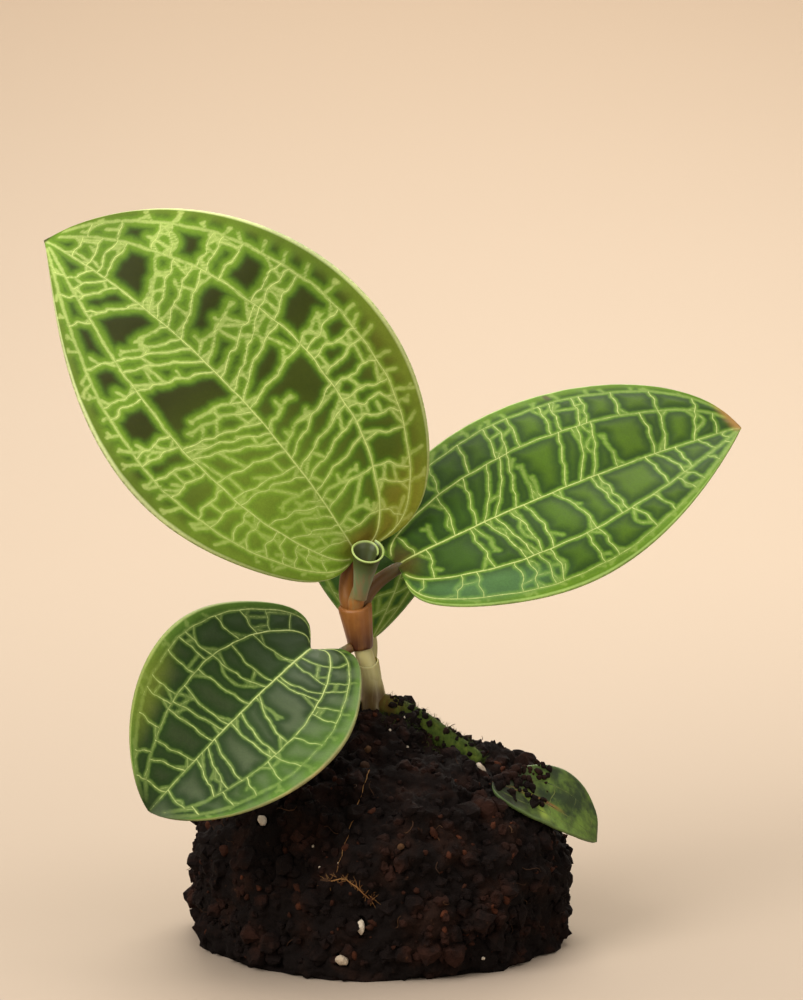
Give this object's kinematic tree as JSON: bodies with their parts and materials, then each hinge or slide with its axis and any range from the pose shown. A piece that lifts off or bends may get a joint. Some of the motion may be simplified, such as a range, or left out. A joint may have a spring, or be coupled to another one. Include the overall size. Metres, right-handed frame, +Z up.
{
  "type": "jewel orchid plant",
  "caption": "Young jewel orchid with gold-netted oval leaves on a short stem, standing in its bare crumbly root ball.",
  "frame": {"origin": "centre of the root ball's flat underside, on the surface that the plant stands on", "axes": "+Z up along the stem, the front as pictured faces -Y, +X to the picture's right"},
  "size_m": [0.0802, 0.0558, 0.0822],
  "materials": {
    "leaf": "satin",
    "rolled_leaf": "satin",
    "old_leaf": "satin",
    "stem": "satin",
    "potting_mix": "matte",
    "perlite": "matte"
  },
  "bodies": {
    "root": {"leaf_upper_left": "leaf", "leaf_right": "leaf", "leaf_lower_left": "leaf", "leaf_back": "leaf", "rolled_leaf": "rolled_leaf", "old_leaf": "old_leaf", "stem": "stem", "root_ball": "potting_mix", "perlite_1": "perlite", "perlite_2": "perlite", "perlite_3": "perlite", "perlite_4": "perlite", "perlite_5": "perlite", "perlite_6": "perlite", "perlite_7": "perlite"}
  },
  "joints": []
}
